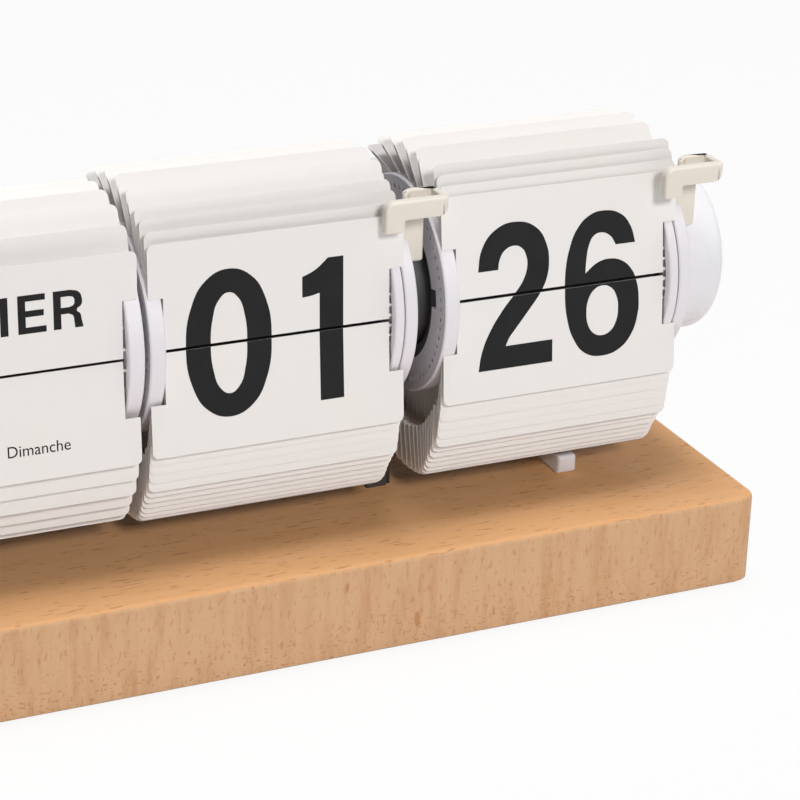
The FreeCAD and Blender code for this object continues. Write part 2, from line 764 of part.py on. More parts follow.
pocket = box(lead_x - pocket_half_x, lead_x + pocket_half_x, -pocket_half_y, pocket_half_y,
             pad_thickness, pocket_top)
cover_room = box(lead_x - cover_half_x - cover_play, lead_x + cover_half_x + cover_play,
                 -cover_half_y - cover_play, cover_half_y + cover_play, 0, pad_thickness + cover_thickness)
battery_cover = box(lead_x - cover_half_x, lead_x + cover_half_x, -cover_half_y, cover_half_y,
                    pad_thickness, pad_thickness + cover_thickness)
cover_screws = []
for side in (-1, 1):
    x = lead_x + side * (pocket_half_x + cover_lip / 2)
    cover_screws.append(peg(x, 0, pad_thickness, pad_thickness + cover_screw_length, cover_screw_radius))
for solid in cover_screws:
    battery_cover = battery_cover.cut(solid)
    plank = plank.cut(solid)
plank = plank.cut(pocket).cut(cover_room).cut(lead_hole)
pad = pad.cut(cover_room)
for solid in foot_screws:
    plank = plank.cut(solid)
    rail = rail.cut(solid)
    feet = [foot.cut(solid) for foot in feet]
    right_pillar = right_pillar.cut(solid)
    left_pillar = left_pillar.cut(solid)

cells = []
contacts = []
cell_z = cell_floor + cell_radius
for side in (-1, 1):
    y = side * cell_pitch / 2
    low = lead_x - cell_length / 2
    high = lead_x + cell_length / 2
    nub_low, nub_high = (high, high + cell_nub_length) if side > 0 else (low - cell_nub_length, low)
    nub = rod(nub_low, nub_high, cell_nub_radius, y, cell_z)
    cells.append(rod(low, high, cell_radius, y, cell_z).fuse(nub))
    for end in (-1, 1):
        inner = lead_x + end * (cell_length / 2 + (cell_nub_length if end == side else 0))
        sheet = contact_thickness if end == side else contact_thickness + cell_nub_length
        x0, x1 = sorted((inner, inner + end * sheet))
        contacts.append(box(x0, x1, y - contact_width / 2, y + contact_width / 2,
                            cell_z - contact_drop, pocket_top))

parts["base"] = [plank]
parts["base_pad"] = [pad]
parts["stand_rail"] = [rail]
parts["outer_feet"] = feet
parts["hour_pillar"] = [right_pillar]
parts["month_pillar"] = [left_pillar]
parts["foot_screws"] = foot_screws
parts["battery_cells"] = cells
parts["battery_contacts"] = contacts
parts["battery_cover"] = [battery_cover]
parts["battery_cover_screws"] = cover_screws
parts["power_lead"] = [lead]

os.makedirs("parts", exist_ok=True)
for name, shapes in parts.items():
    solids = [solid for shape in shapes for solid in shape.Solids]
    whole = solids[0] if len(solids) == 1 else Part.makeCompound(solids)
    whole.exportStep("parts/" + name + ".step")
    print(name, len(solids), "solids,", round(sum(solid.Volume for solid in solids), 1), "mm3,",
          all(solid.isValid() for solid in solids))
print(len(parts), "nodes; axis", round(axis_height, 2), "base length", round(base_length, 2))
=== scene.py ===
import json
import math

import bpy
from mathutils import Matrix, Vector


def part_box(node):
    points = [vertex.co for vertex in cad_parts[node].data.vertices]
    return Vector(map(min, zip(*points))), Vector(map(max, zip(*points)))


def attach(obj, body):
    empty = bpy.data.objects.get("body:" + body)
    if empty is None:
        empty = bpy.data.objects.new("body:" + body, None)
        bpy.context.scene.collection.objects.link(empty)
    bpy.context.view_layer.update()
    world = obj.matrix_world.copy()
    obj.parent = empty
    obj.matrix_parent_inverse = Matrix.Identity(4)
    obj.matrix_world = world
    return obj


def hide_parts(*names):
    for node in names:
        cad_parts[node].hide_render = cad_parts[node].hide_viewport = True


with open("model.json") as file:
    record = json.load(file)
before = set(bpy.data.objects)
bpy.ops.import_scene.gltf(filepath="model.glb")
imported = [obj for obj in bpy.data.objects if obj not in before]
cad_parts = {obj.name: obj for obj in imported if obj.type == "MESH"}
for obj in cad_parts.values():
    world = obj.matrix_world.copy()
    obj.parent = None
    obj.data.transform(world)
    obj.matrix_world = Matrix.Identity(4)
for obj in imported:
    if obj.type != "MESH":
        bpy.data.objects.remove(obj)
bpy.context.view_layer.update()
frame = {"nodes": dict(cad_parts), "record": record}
nodes = frame["nodes"]
mm = 0.001
print("frame loaded:", len(nodes), "nodes")


# Shader helpers
class Value:
    # a socket that can be added, subtracted and multiplied in an expression
    def __init__(self, tree, socket):
        self.tree = tree
        self.socket = socket

    def maths(self, operation, *values, clamp=False):
        sockets = {place: value for place, value in enumerate(values)}
        return self.tree.add("ShaderNodeMath", {"operation": operation, "use_clamp": clamp}, sockets)

    def __add__(self, other):
        return self.maths("ADD", self, other)

    def __radd__(self, other):
        return self.maths("ADD", other, self)

    def __sub__(self, other):
        return self.maths("SUBTRACT", self, other)

    def __rsub__(self, other):
        return self.maths("SUBTRACT", other, self)

    def __mul__(self, other):
        return self.maths("MULTIPLY", self, other)

    def __rmul__(self, other):
        return self.maths("MULTIPLY", other, self)

    def size(self):
        return self.maths("ABSOLUTE", self)

    def between(self, low, high):
        # 0 below low, 1 above high, smooth from one to the other
        values = {0: self, 1: low, 2: high}
        return self.tree.add("ShaderNodeMapRange", {"interpolation_type": "SMOOTHSTEP"}, values)


class Tree:
    # a node tree: add makes a node and gives one of its outputs as a Value
    def __init__(self, nodeTree):
        self.nodeTree = nodeTree

    def add(self, kind, settings=None, values=None, output=0):
        node = self.nodeTree.nodes.new(kind)
        for setting, value in (settings or {}).items():
            setattr(node, setting, value)
        for place, value in (values or {}).items():
            self.feed(node.inputs[place], value)
        return Value(self, node.outputs[output])

    def feed(self, socket, value):
        if isinstance(value, Value):
            self.nodeTree.links.new(value.socket, socket)
        else:
            socket.default_value = value

    def seenDirectly(self):
        # 1 where the camera looks straight at it, by way of a reflection or through something clear
        names = ("Is Camera Ray", "Is Glossy Ray", "Is Transmission Ray")
        camera, glossy, transmission = (self.add("ShaderNodeLightPath", output=name) for name in names)
        return camera.maths("ADD", camera, glossy + transmission, clamp=True)


class Finish(Tree):
    # one procedural material, built around its Principled shader
    def __init__(self, name, color, roughness, **sockets):
        self.material = bpy.data.materials.new(name)
        self.material.use_nodes = True
        super().__init__(self.material.node_tree)
        self.shader = self.nodeTree.nodes["Principled BSDF"]
        self.set("Base Color", (*color, 1))
        self.set("Roughness", roughness)
        for socketName, value in sockets.items():
            self.set(socketName.replace("_", " "), value)

    def set(self, place, value):
        self.feed(self.shader.inputs[place], value)

    def place(self, stretch=(1, 1, 1), move=(0, 0, 0)):
        # the piece's own coordinates, stretched: a larger number makes a pattern finer that way
        coordinates = self.add("ShaderNodeTexCoord", output="Object")
        return self.add("ShaderNodeMapping", {}, {"Vector": coordinates, "Scale": stretch, "Location": move})

    def part(self, vector, axis):
        return self.add("ShaderNodeSeparateXYZ", {}, {0: vector}, output=axis)

    def pattern(self, scale, detail, roughness=0.5, warp=0.0, stretch=(1, 1, 1), move=(0, 0, 0), edges=None):
        # noise, made into clear spots where two edges are given
        values = {"Vector": self.place(stretch, move), "Scale": scale, "Detail": detail,
                  "Roughness": roughness, "Distortion": warp}
        noise = self.add("ShaderNodeTexNoise", {}, values)
        return noise.between(*edges) if edges else noise

    def mixColor(self, factor, first, second):
        return self.add("ShaderNodeMix", {"data_type": "RGBA"}, {0: factor, 6: first, 7: second}, output=2)

    def bump(self, height, distance):
        self.set("Normal", self.add("ShaderNodeBump", {}, {"Height": height, "Distance": distance}))


def shade(color, factor):
    return (*(part * factor for part in color), 1)


# Moulded plastic, also rubber and paint: a faint cloudiness of tone and gloss, and a fine skin
mouldedLook = {"cloud": {"scale": 55, "detail": 3}, "skinDetail": 2, "glossSwing": 0.1}


def mouldedFinish(name, color, roughness, mottle=0.03, grain=900, depth=0.00001, **sockets):
    finish = Finish(name, color, roughness, **sockets)
    swing = mouldedLook["glossSwing"]
    cloud = finish.pattern(**mouldedLook["cloud"])
    skin = finish.pattern(grain, mouldedLook["skinDetail"])
    finish.set("Base Color", finish.mixColor(cloud, shade(color, 1 - mottle), shade(color, 1 + mottle / 2)))
    finish.set("Roughness", roughness - swing / 2 + cloud * swing)
    finish.bump(skin, depth)
    return finish.material


# Drawn or brushed metal: fine lines along one direction and a slow change of tone
metalLook = {
    "lines": {"scale": 700, "detail": 3, "roughness": 0.7}, "cloud": {"scale": 90, "detail": 2},
    "dark": 0.82, "light": 1.08, "glossDrop": 0.08, "lineSwing": 0.1, "cloudSwing": 0.08, "depth": 0.00001,
}


def metalFinish(name, color, roughness, stretch=(1, 1, 1)):
    look = metalLook
    finish = Finish(name, color, roughness, Metallic=1.0)
    lines = finish.pattern(**look["lines"], stretch=stretch)
    cloud = finish.pattern(**look["cloud"])
    finish.set("Base Color", finish.mixColor(lines, shade(color, look["dark"]), shade(color, look["light"])))
    gloss = roughness - look["glossDrop"] + lines * look["lineSwing"] + cloud * look["cloudSwing"]
    finish.set("Roughness", gloss)
    finish.bump(lines, look["depth"])
    return finish.material


# Card sheet: a cool white with a few warmer clouds and a fine fibre
cardLook = {
    "color": (0.85, 0.825, 0.81), "warm": (0.87, 0.82, 0.76), "roughness": 0.42, "specular": 0.4,
    "cloud": {"scale": 28, "detail": 3}, "cloudEdges": (0.45, 0.75), "cloudShare": 0.35, "glossSwing": 0.08,
    "fibre": {"scale": 1400, "detail": 2, "stretch": (1, 3, 3)}, "depth": 0.000006,
}


def cardFinish():
    look = cardLook
    finish = Finish("cardSheet", look["color"], look["roughness"], Specular_IOR_Level=look["specular"])
    cloud = finish.pattern(**look["cloud"])
    warmth = cloud.between(*look["cloudEdges"]) * look["cloudShare"]
    finish.set("Base Color", finish.mixColor(warmth, (*look["color"], 1), (*look["warm"], 1)))
    finish.set("Roughness", look["roughness"] - look["glossSwing"] / 2 + cloud * look["glossSwing"])
    finish.bump(finish.pattern(**look["fibre"]), look["depth"])
    return finish.material


# Beech: bands and short dashes run along the top, streaks, blocks and flecks stand upright on the front
beechLook = {
    "colors": {
        "light": (0.80, 0.465, 0.24, 1), "middle": (0.71, 0.37, 0.155, 1), "dark": (0.45, 0.20, 0.075, 1),
        "face": (0.66, 0.41, 0.235, 1), "faceDark": (0.50, 0.245, 0.105, 1),
    },
    "patterns": {
        "bands": {"scale": 150, "detail": 4, "warp": 0.4, "stretch": (0.06, 1, 1)},
        "fine": {"scale": 900, "detail": 3, "roughness": 0.6, "stretch": (0.05, 1, 1)},
        "dashes": {"scale": 1300, "detail": 1, "stretch": (0.16, 1, 1), "move": (3, 1, 0),
                   "edges": (0.62, 0.72)},
        "streaks": {"scale": 260, "detail": 4, "roughness": 0.65, "stretch": (1, 1, 0.14)},
        "cloud": {"scale": 55, "detail": 3, "stretch": (1, 1, 0.5)},
        "blocks": {"scale": 240, "detail": 1, "stretch": (1, 1, 0.32), "move": (9, 0, 4),
                   "edges": (0.70, 0.76)},
        "flecks": {"scale": 1100, "detail": 1, "stretch": (1, 1, 0.3), "move": (1, 7, 2),
                   "edges": (0.60, 0.70)},
        "dots": {"scale": 1500, "detail": 1, "stretch": (0.45, 1, 1), "move": (2, 5, 0),
                 "edges": (0.63, 0.7)},
    },
    "rings": {"move": (0, 0.02, 0.09), "scale": 90, "warp": 2.5, "detail": 3},
    "shares": {
        "fine": 0.35, "dashes": 0.6, "streaks": 0.7, "cloud": 0.6, "blocks": 0.7, "flecks": 0.4,
        "dots": 0.15, "lowDots": 0.5, "endDots": 0.35,
    },
    "roughness": 0.46, "specular": 0.16, "topEdges": (0.45, 0.85), "endEdges": (0.5, 0.85),
    "lowHeights": (0.004, 0.016), "streakEdges": (0.38, 0.75), "dashGloss": 0.12, "streakGloss": 0.08,
    "dashDepth": 0.4, "depth": 0.00004,
}


def beechFinish():
    look = beechLook
    colors = look["colors"]
    shares = look["shares"]
    finish = Finish("beech", colors["middle"][:3], look["roughness"], Specular_IOR_Level=look["specular"])
    grain = {name: finish.pattern(**settings) for name, settings in look["patterns"].items()}
    normal = finish.add("ShaderNodeTexCoord", output="Normal")
    topMask = finish.part(normal, "Z").size().between(*look["topEdges"])
    endMask = finish.part(normal, "X").size().between(*look["endEdges"])

    # top and underside
    top = finish.mixColor(grain["bands"], colors["middle"], colors["light"])
    top = finish.mixColor(grain["fine"] * shares["fine"], top, colors["middle"])
    top = finish.mixColor(grain["dashes"] * shares["dashes"], top, colors["dark"])

    # front and back, with more dots low on the face
    low = 1 - finish.part(finish.place(), "Z").between(*look["lowHeights"])
    streaks = grain["streaks"].between(*look["streakEdges"]) * shares["streaks"]
    face = finish.mixColor(streaks, colors["face"], colors["faceDark"])
    face = finish.mixColor(grain["cloud"] * shares["cloud"], face, colors["face"])
    face = finish.mixColor(grain["blocks"] * shares["blocks"], face, colors["dark"])
    face = finish.mixColor(grain["flecks"] * shares["flecks"], face, colors["dark"])
    face = finish.mixColor(grain["dots"] * (shares["dots"] + low * shares["lowDots"]), face, colors["dark"])

    # ends: the tree's rings, cut across
    rings = look["rings"]
    ringValues = {"Vector": finish.place(move=rings["move"]), "Scale": rings["scale"],
                  "Distortion": rings["warp"], "Detail": rings["detail"]}
    waves = finish.add("ShaderNodeTexWave", {"wave_type": "RINGS", "rings_direction": "X"}, ringValues)
    end = finish.mixColor(waves, colors["faceDark"], colors["face"])
    end = finish.mixColor(grain["dots"] * shares["endDots"], end, colors["dark"])

    body = finish.mixColor(topMask, face, top)
    gloss = look["roughness"] + grain["dashes"] * look["dashGloss"] + grain["streaks"] * look["streakGloss"]
    relief = grain["fine"] * topMask + grain["streaks"] * (1 - topMask) - grain["dashes"] * look["dashDepth"]
    finish.set("Base Color", finish.mixColor(endMask, body, end))
    finish.set("Roughness", gloss)
    finish.bump(relief, look["depth"])
    return finish.material


# Printed ink: a dull black, a little cloudy
inkLook = {
    "color": (0.016, 0.016, 0.017), "dark": (0.012, 0.012, 0.0125, 1), "light": (0.021, 0.021, 0.022, 1),
    "roughness": 0.55, "specular": 0.12, "cloud": {"scale": 160, "detail": 3}, "gloss": 0.48,
    "glossSwing": 0.12,
}


def inkFinish():
    look = inkLook
    finish = Finish("digitInk", look["color"], look["roughness"], Specular_IOR_Level=look["specular"])
    cloud = finish.pattern(**look["cloud"])
    finish.set("Base Color", finish.mixColor(cloud, look["dark"], look["light"]))
    finish.set("Roughness", look["gloss"] + cloud * look["glossSwing"])
    return finish.material


# One finish for each slot of the record
finishes = {
    "card_sheet": cardFinish(),
    "beech": beechFinish(),
    "white_plastic": mouldedFinish("whitePlastic", (0.80, 0.775, 0.82), 0.42),
    "cream_plastic": mouldedFinish("creamPlastic", (0.80, 0.745, 0.66), 0.40),
    "knob_plastic": mouldedFinish("knobPlastic", (0.80, 0.795, 0.83), 0.28, mottle=0.015, depth=0.000004),
    "dark_plastic": mouldedFinish("darkPlastic", (0.075, 0.075, 0.08), 0.5, mottle=0.12),
    "gear_plastic": mouldedFinish("gearPlastic", (0.74, 0.72, 0.64), 0.38),
    "pad_rubber": mouldedFinish("padRubber", (0.05, 0.03, 0.022), 0.8, mottle=0.2, depth=0.00003),
    "lead_rubber": mouldedFinish("leadRubber", (0.02, 0.02, 0.021), 0.6, mottle=0.2),
    "stand_paint": mouldedFinish("standPaint", (0.045, 0.042, 0.042), 0.5, mottle=0.15, grain=500),
    "cell_jacket": mouldedFinish("cellJacket", (0.03, 0.06, 0.08), 0.25, mottle=0.1, Metallic=0.6),
    "gear_brass": metalFinish("gearBrass", (0.60, 0.42, 0.16), 0.3),
    "motor_can": metalFinish("motorCan", (0.45, 0.45, 0.46), 0.32, stretch=(0.08, 1, 1)),
    "screw_steel": metalFinish("screwSteel", (0.55, 0.55, 0.55), 0.3),
    "shaft_steel": metalFinish("shaftSteel", (0.50, 0.50, 0.51), 0.25, stretch=(0.1, 1, 1)),
    "contact_metal": metalFinish("contactMetal", (0.62, 0.60, 0.55), 0.28, stretch=(1, 0.1, 1)),
}
ink = inkFinish()

for part in frame["record"]["subparts"]:
    for materialSlot in nodes[part["node"]].material_slots:
        materialSlot.material = finishes[part["material_slot"]]
print("finishes on the nodes")


def activate(pieces):
    bpy.ops.object.select_all(action="DESELECT")
    for piece in pieces:
        piece.select_set(True)
    bpy.context.view_layer.objects.active = pieces[0]


# Moulded pieces get a merged copy of their CAD shape, with every sharp edge rounded by so many mm
moulded = {
    "hour_clip": {"round": 0.7, "body": "root"}, "minute_clip": {"round": 0.7, "body": "root"},
    "month_clip": {"round": 0.7, "body": "root"}, "date_clip": {"round": 0.7, "body": "root"},
    "outer_feet": {"round": 1.0, "body": "root"},
    "minute_knob": {"round": 0.3, "body": "minute_knob"}, "date_knob": {"round": 0.3, "body": "date_knob"},
}
rounding = {"merge": 0.000005, "flat": math.radians(0.5), "sharp": math.radians(40), "segments": 4}


def roundedCopy(nodeName, radius, body):
    node = nodes[nodeName]
    piece = bpy.data.objects.new(nodeName + "_rounded", node.data.copy())
    piece.data.transform(node.matrix_world)
    bpy.context.scene.collection.objects.link(piece)
    activate([piece])
    bpy.ops.object.mode_set(mode="EDIT")
    bpy.ops.mesh.select_all(action="SELECT")
    bpy.ops.mesh.remove_doubles(threshold=rounding["merge"])
    bpy.ops.mesh.dissolve_limited(angle_limit=rounding["flat"])
    bpy.ops.object.mode_set(mode="OBJECT")
    bevel = piece.modifiers.new("edges", "BEVEL")
    bevel.width = radius * mm
    bevel.segments = rounding["segments"]
    bevel.limit_method = "ANGLE"
    bevel.angle_limit = rounding["sharp"]
    bevel.use_clamp_overlap = False  # clamping would shrink every edge to suit the shortest one
    bpy.ops.object.modifier_apply(modifier=bevel.name)
    bpy.ops.object.shade_smooth_by_angle(angle=rounding["sharp"])
    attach(piece, body)
    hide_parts(nodeName)


for nodeName, shape in moulded.items():
    roundedCopy(nodeName, shape["round"], shape["body"])
print("moulded pieces rounded")

# Cards, in mm and degrees: where their faces lie, and where each digit starts from a card's left edge
axisHeight = sum(corner.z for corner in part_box("main_shaft")) / 2 / mm
card = {"pivotRadius": 26.5, "thickness": 0.15, "splitGap": 0.85, "inkThickness": 0.04, "frontLean": 5.2}
drums = {
    "date": {"startAngle": 7.0, "cards": 31, "frontLift": 4.5, "nextLift": 1.6,
             "number": {"1": 12.6, "6": 36.0}, "next": {"1": 12.6, "7": 37.0}},
    "month": {"startAngle": 6.0, "cards": 30, "frontLift": 4.0, "nextLift": 1.6},
    "hour": {"startAngle": 4.7, "cards": 60, "frontLift": 2.0, "nextLift": 4.0,
             "number": {"0": 9.8, "1": 41.6}, "next": {"0": 9.8, "2": 37.2}},
    "minute": {"startAngle": 9.7, "cards": 60, "frontLift": 2.0, "nextLift": 6.7,
               "number": {"2": 10.3, "6": 36.0}, "next": {"2": 10.3, "7": 37.0}},
}

# The halves that carry lettering: the front card and the next one show an upper half, the hanging card
# and the front card's back a lower one
places = {
    "upper": {"flips": True, "upperHalf": True, "number": "number"},
    "lower": {"flips": False, "upperHalf": False, "number": "number"},
    "nextUpper": {"flips": False, "upperHalf": True, "number": "next"},
    "nextLower": {"flips": True, "upperHalf": False, "number": "next"},
}


def cardPlane(drumName, place):
    # lays a flat drawing, with x from the card's left edge and y up from the split, on a card's face, in mm
    drum = drums[drumName]
    step = 360 / drum["cards"]
    radius = card["pivotRadius"]
    tail = radius * math.sin(math.pi / drum["cards"])
    if place == "lower":
        angle = drum["startAngle"] - step
        lean = math.radians(card["frontLean"])
    else:
        angle = drum["startAngle"] + (step if place == "nextUpper" else 0)
        lean = math.radians(angle - drum["nextLift" if place == "nextUpper" else "frontLift"])
    up = (math.sin(lean), math.cos(lean))
    if place == "nextLower":
        up = (-up[0], -up[1])
    outward = (-up[1], up[0])
    angle = math.radians(angle)
    towardSplit = 1 if places[place]["upperHalf"] else -1
    shift = [-up[axis] * tail * towardSplit + outward[axis] * card["thickness"] / 2 for axis in (0, 1)]
    depth = -radius * math.cos(angle) + shift[0]
    height = axisHeight + radius * math.sin(angle) + shift[1]
    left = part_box(drumName + "_flip_card")[0].x / mm
    depthRow = (0, up[0], outward[0], depth)
    heightRow = (0, up[1], outward[1], height)
    return Matrix(((1, 0, 0, left), depthRow, heightRow, (0, 0, 0, 1)))


def ring(centre, halfWidth, halfHeight, square=2.15, count=12):
    # a closed oval, a little squarer than an ellipse
    points = []
    for step in range(count):
        angle = 2 * math.pi * step / count
        x = math.copysign(abs(math.cos(angle)) ** (2 / square), math.cos(angle))
        y = math.copysign(abs(math.sin(angle)) ** (2 / square), math.sin(angle))
        points.append((centre[0] + halfWidth * x, centre[1] + halfHeight * y))
    return points


# Numerals: outlines in mm from their left edge and the split, a third number of 1 marks a corner
numerals = {
    "0": [ring((11.65, 0), 11.65, 19.75), ring((11.65, 0), 4.95, 13.5)],
    "1": [[(0, 14.9, 1), (3.7, 16.5), (7.1, 19.3, 1), (11.4, 19.3, 1), (11.4, -19.1, 1), (4.8, -19.1, 1),
           (4.8, 10.1, 1), (2.4, 9.6), (0, 9.4, 1)]],
    "2": [[(0, 7.2, 1), (1.2, 13.2), (4.9, 17.8), (10.9, 19.6), (17.3, 17.4), (20.4, 12.3), (21.0, 7.6),
           (20.3, 3.4), (18.5, -0.2), (14.7, -5.1), (10.9, -9.6), (9.1, -11.8), (8.0, -14.0, 1),
           (22.0, -14.0, 1), (22.0, -20.2, 1), (0, -20.2, 1), (0.9, -15.2), (3.4, -9.4), (7.1, -4.0),
           (10.9, 0.4), (13.3, 3.6), (14.5, 7.1), (14.3, 9.9), (13.0, 12.3), (10.7, 13.2), (7.9, 12.2),
           (6.4, 9.9), (5.9, 7.2, 1)]],
    "6": [[(11.9, 19.6), (7.5, 18.7), (3.8, 15.4), (1.5, 10.4), (0.3, 5.0), (0, -0.5), (0.6, -8.3),
           (2.9, -15.2), (6.3, -19.3), (11.3, -20.7), (16.8, -19.4), (20.5, -15.6), (22.4, -9.9),
           (22.6, -6.4), (21.9, -1.3), (20.0, 2.9), (17.2, 5.3), (13.7, 6.2), (10.0, 5.6), (6.2, 3.0, 1),
           (6.5, 6.6), (7.5, 11.0), (8.9, 13.1), (11.2, 13.7), (13.9, 12.4), (15.5, 9.9, 1),
           (21.4, 9.9, 1), (20.1, 14.4), (17.1, 18.1)],
          ring((11.4, -7.9), 4.85, 7.0)],
    "7": [[(0, 19.3, 1), (21.6, 19.3, 1), (21.6, 13.6, 1), (17.2, 7.0), (13.4, -1.5), (11.0, -10.5),
           (10.2, -19.4, 1), (3.6, -19.4, 1), (4.6, -10.5), (7.2, -1.5), (10.8, 6.3), (14.8, 13.1, 1),
           (0, 13.1, 1)]],
}

# Capitals of the month's name, from their left edge and base line
capitals = {
    "I": [[(0, 0, 1), (2, 0, 1), (2, 9.95, 1), (0, 9.95, 1)]],
    "E": [[(0, 0, 1), (7.2, 0, 1), (7.2, 1.6, 1), (1.95, 1.6, 1), (1.95, 4.3, 1), (6.6, 4.3, 1),
           (6.6, 5.9, 1), (1.95, 5.9, 1), (1.95, 8.35, 1), (7, 8.35, 1), (7, 9.95, 1), (0, 9.95, 1)]],
    "F": [[(0, 0, 1), (1.95, 0, 1), (1.95, 4.2, 1), (6.3, 4.2, 1), (6.3, 5.8, 1), (1.95, 5.8, 1),
           (1.95, 8.35, 1), (7, 8.35, 1), (7, 9.95, 1), (0, 9.95, 1)]],
    "R": [[(0, 0, 1), (1.95, 0, 1), (1.95, 3.85, 1), (3.9, 3.85, 1), (5.0, 3.2), (5.3, 1.8), (5.5, 0, 1),
           (7.65, 0, 1), (7.2, 1.9), (6.9, 3.5), (6.0, 4.6), (7.2, 5.8), (7.4, 7.3), (6.6, 9.2),
           (4.4, 9.95, 1), (0, 9.95, 1)],
          [(1.95, 5.5, 1), (4.1, 5.5, 1), (5.2, 6.0), (5.45, 6.9), (5.2, 7.9), (4.1, 8.35, 1),
           (1.95, 8.35, 1)]],
    "V": [[(3.3, 0, 1), (5.4, 0, 1), (8.7, 9.95, 1), (6.6, 9.95, 1), (4.35, 2.6, 1), (2.15, 9.95, 1),
           (0, 9.95, 1)]],
    "N": [[(0, 0, 1), (1.95, 0, 1), (1.95, 6.7, 1), (5.75, 0, 1), (7.8, 0, 1), (7.8, 9.95, 1),
           (5.85, 9.95, 1), (5.85, 3.3, 1), (2.05, 9.95, 1), (0, 9.95, 1)]],
    "A": [[(0, 0, 1), (2.1, 0, 1), (2.9, 2.3, 1), (6.1, 2.3, 1), (6.85, 0, 1), (9, 0, 1), (5.6, 9.95, 1),
           (3.4, 9.95, 1)],
          [(3.4, 3.9, 1), (5.6, 3.9, 1), (4.5, 7.5, 1)]],
    "J": [[(4.4, 9.95, 1), (6.35, 9.95, 1), (6.35, 3.2, 1), (5.9, 1.0), (3.2, -0.2), (0.5, 1.0),
           (0, 3.4, 1), (1.9, 3.4, 1), (2.2, 1.9), (3.2, 1.45), (4.2, 1.9), (4.4, 3.2, 1)]],
}
monthNames = {
    "name": (("J", 7.6), ("A", 15.0), ("N", 24.9), ("V", 34.1), ("I", 43.7), ("E", 48.2), ("R", 57.25)),
    "nextName": (("F", 7.9), ("E", 16.4), ("V", 24.5), ("R", 34.05), ("I", 43.7), ("E", 48.2), ("R", 57.25)),
}
monthBase = 10.45
dayLine = {
    "words": "Dimanche", "height": 3.15, "right": 60.5, "base": -21.35, "widen": 0.95, "heightShare": 0.729,
}
drawingLook = {"curveSteps": 6, "textSteps": 5, "merge": 0.000002, "cutThreshold": 0.0000005}


def closedCurve(name, outlines, left, base=0):
    curve = bpy.data.curves.new(name, "CURVE")
    curve.dimensions = "2D"
    curve.fill_mode = "BOTH"
    curve.resolution_u = drawingLook["curveSteps"]
    curve.extrude = card["inkThickness"] * mm / 2
    for outline in outlines:
        spline = curve.splines.new("BEZIER")
        spline.bezier_points.add(len(outline) - 1)
        spline.use_cyclic_u = True
        for point, spot in zip(spline.bezier_points, outline):
            point.co = ((spot[0] + left) * mm, (spot[1] + base) * mm, 0)
            kind = "VECTOR" if len(spot) > 2 else "AUTO"
            point.handle_left_type = kind
            point.handle_right_type = kind
    drawing = bpy.data.objects.new(name, curve)
    bpy.context.scene.collection.objects.link(drawing)
    return drawing


def numberDrawings(name, number):
    return [closedCurve(name + digit, numerals[digit], left) for digit, left in number.items()]


def monthDrawings(name, key):
    return [closedCurve(name, capitals[letter], left, monthBase) for letter, left in monthNames[key]]


def dayDrawing(name):
    bpy.ops.object.text_add()
    drawing = bpy.context.object
    drawing.name = name
    text = drawing.data
    text.body = dayLine["words"]
    text.align_x = "RIGHT"
    text.size = dayLine["height"] / dayLine["heightShare"] * mm
    text.extrude = card["inkThickness"] * mm / 2
    text.resolution_u = drawingLook["textSteps"]
    bpy.ops.object.convert(target="MESH")
    drawing = bpy.context.object
    widen = Matrix.Diagonal((dayLine["widen"], 1, 1, 1))
    drawing.data.transform(Matrix.Translation((dayLine["right"] * mm, dayLine["base"] * mm, 0)) @ widen)
    return drawing


def inkPiece(name, drawings, drumName, place):
    # drawings become one mesh, cut at the split, laid on a card's face
    activate(drawings)
    bpy.ops.object.convert(target="MESH")
    if len(drawings) > 1:
        bpy.ops.object.join()
    piece = bpy.context.view_layer.objects.active
    piece.name = name
    bpy.ops.object.mode_set(mode="EDIT")
    bpy.ops.mesh.select_all(action="SELECT")
    bpy.ops.mesh.remove_doubles(threshold=drawingLook["merge"])
    bpy.ops.mesh.normals_make_consistent(inside=False)
    bpy.ops.mesh.select_all(action="SELECT")
    upperHalf = places[place]["upperHalf"]
    half = card["splitGap"] / 2 * mm
    cutHeight = half if upperHalf else -half
    bpy.ops.mesh.bisect(plane_co=(0, cutHeight, 0), plane_no=(0, 1, 0), use_fill=True, clear_inner=upperHalf,
                        clear_outer=not upperHalf, threshold=drawingLook["cutThreshold"])
    bpy.ops.mesh.select_all(action="SELECT")
    bpy.ops.mesh.quads_convert_to_tris()
    bpy.ops.object.mode_set(mode="OBJECT")
    plane = cardPlane(drumName, place)
    plane.translation = plane.translation * mm
    piece.data.transform(plane @ Matrix.Translation((0, 0, card["inkThickness"] * mm / 2)))
    piece.data.materials.clear()
    piece.data.materials.append(ink)
    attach(piece, drumName + "_flip_card" if places[place]["flips"] else "root")


for drumName, drum in drums.items():
    if "number" in drum:
        for place, half in places.items():
            name = drumName + "_number_" + place
            inkPiece(name, numberDrawings(name, drum[half["number"]]), drumName, place)

inkPiece("month_name", monthDrawings("month_name", "name"), "month", "upper")
inkPiece("month_next_name", monthDrawings("month_next_name", "nextName"), "month", "nextUpper")
inkPiece("month_day", [dayDrawing("month_day")], "month", "lower")
inkPiece("month_next_day", [dayDrawing("month_next_day")], "month", "nextLower")
print("lettering on the cards")

# Floor: white paper that keeps the clock's shadow
floorLook = {
    "size": 12.0, "color": (0.86, 0.86, 0.86), "roughness": 0.7, "cloud": {"scale": 3, "detail": 2},
    "dark": 0.985, "light": 1.01, "white": 0.88, "glow": {"Color": (1, 1, 1, 1), "Strength": 1.0},
}


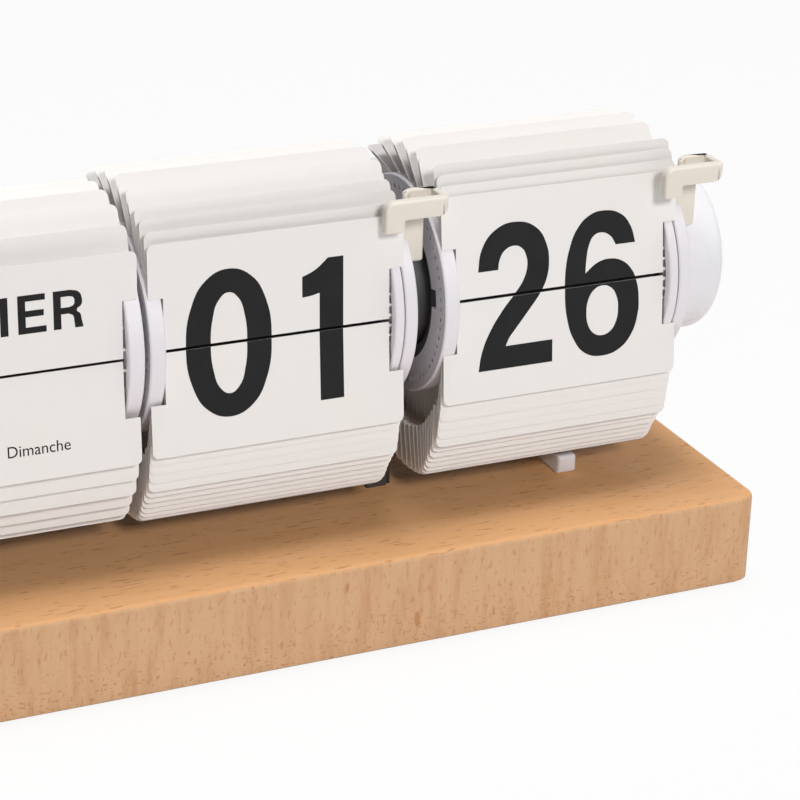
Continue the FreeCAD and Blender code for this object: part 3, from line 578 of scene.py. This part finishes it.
def floorFinish():
    look = floorLook
    tone = look["color"]
    finish = Finish("paperFloor", tone, look["roughness"])
    cloud = finish.pattern(**look["cloud"])
    finish.set("Base Color", finish.mixColor(cloud, shade(tone, look["dark"]), shade(tone, look["light"])))
    paper = Value(finish, finish.shader.outputs[0])
    glow = finish.add("ShaderNodeEmission", {}, look["glow"])
    share = finish.seenDirectly() * look["white"]
    mixed = finish.add("ShaderNodeMixShader", {}, {0: share, 1: paper, 2: glow})
    finish.feed(finish.nodeTree.nodes["Material Output"].inputs["Surface"], mixed)
    return finish.material


bpy.ops.mesh.primitive_plane_add(size=floorLook["size"], location=(0, 0, 0))
floor = bpy.context.object
floor.name = "floor"
floor.data.materials.append(floorFinish())

# World: white where it is seen, weak as a light
worldLook = {"color": (1, 1, 1, 1), "ambient": 0.06}
world = bpy.data.worlds.new("studio")
bpy.context.scene.world = world
world.use_nodes = True
sky = Tree(world.node_tree)
brightness = sky.seenDirectly() * (1 - worldLook["ambient"]) + worldLook["ambient"]
background = world.node_tree.nodes["Background"]
sky.feed(background.inputs["Color"], worldLook["color"])
sky.feed(background.inputs["Strength"], brightness)

# Lamps: power in watts, sizes and places in metres
lamps = {
    "front": {"power": 27, "size": 0.5, "place": (0.1, -1.95, 1.3), "color": (1, 0.99, 0.975)},
    "top": {"power": 22, "size": 0.8, "place": (0.2, 0.15, 1.9), "color": (1, 0.99, 0.98)},
    "side": {"power": 3, "size": 1.2, "place": (1.7, -0.7, 0.9), "color": (0.97, 0.98, 1)},
}
lampAim = Vector((0.03, 0, 0.07))
for lampName, lamp in lamps.items():
    light = bpy.data.lights.new(lampName, "AREA")
    light.energy = lamp["power"]
    light.size = lamp["size"]
    light.color = lamp["color"]
    holder = bpy.data.objects.new(lampName, light)
    holder.location = lamp["place"]
    holder.rotation_euler = (lampAim - Vector(lamp["place"])).to_track_quat("-Z", "Y").to_euler()
    bpy.context.scene.collection.objects.link(holder)

# Camera: angles in degrees, a point of the clock in mm, and the pixel of the picture where it shows
camera = {
    "turn": 25.2234, "tilt": 23.1052, "roll": 1.7607, "focalPixels": 2748.7, "distance": 738.23,
    "aim": (75.9, 0, 86.87), "aimPixel": (361.97, 282.69), "imageSize": 800, "sensor": 36.0,
    "nearest": 0.01, "farthest": 50,
}
turn, tilt, roll = (math.radians(camera[key]) for key in ("turn", "tilt", "roll"))
forward = Vector((math.sin(turn) * math.cos(tilt), math.cos(turn) * math.cos(tilt), -math.sin(tilt)))
right = Vector((math.cos(turn), -math.sin(turn), 0))
upward = right.cross(forward)
rolledRight = right * math.cos(roll) + upward * math.sin(roll)
rolledUp = upward * math.cos(roll) - right * math.sin(roll)
middle = camera["imageSize"] / 2
sideways = (camera["aimPixel"][0] - middle) / camera["focalPixels"]
upwards = (middle - camera["aimPixel"][1]) / camera["focalPixels"]
ray = forward + rolledRight * sideways + rolledUp * upwards
eye = (Vector(camera["aim"]) - ray * camera["distance"]) * mm
lens = bpy.data.cameras.new("camera")
lens.sensor_width = camera["sensor"]
lens.lens = camera["sensor"] * camera["focalPixels"] / camera["imageSize"]
lens.clip_start = camera["nearest"]
lens.clip_end = camera["farthest"]
viewer = bpy.data.objects.new("camera", lens)
axes = (rolledRight, rolledUp, -forward)
viewer.matrix_world = Matrix([[axes[column][row] for column in range(3)] + [eye[row]] for row in range(3)]
                             + [[0, 0, 0, 1]])
bpy.context.scene.collection.objects.link(viewer)
bpy.context.scene.camera = viewer
bpy.context.scene.view_settings.view_transform = "Standard"
print("studio ready")
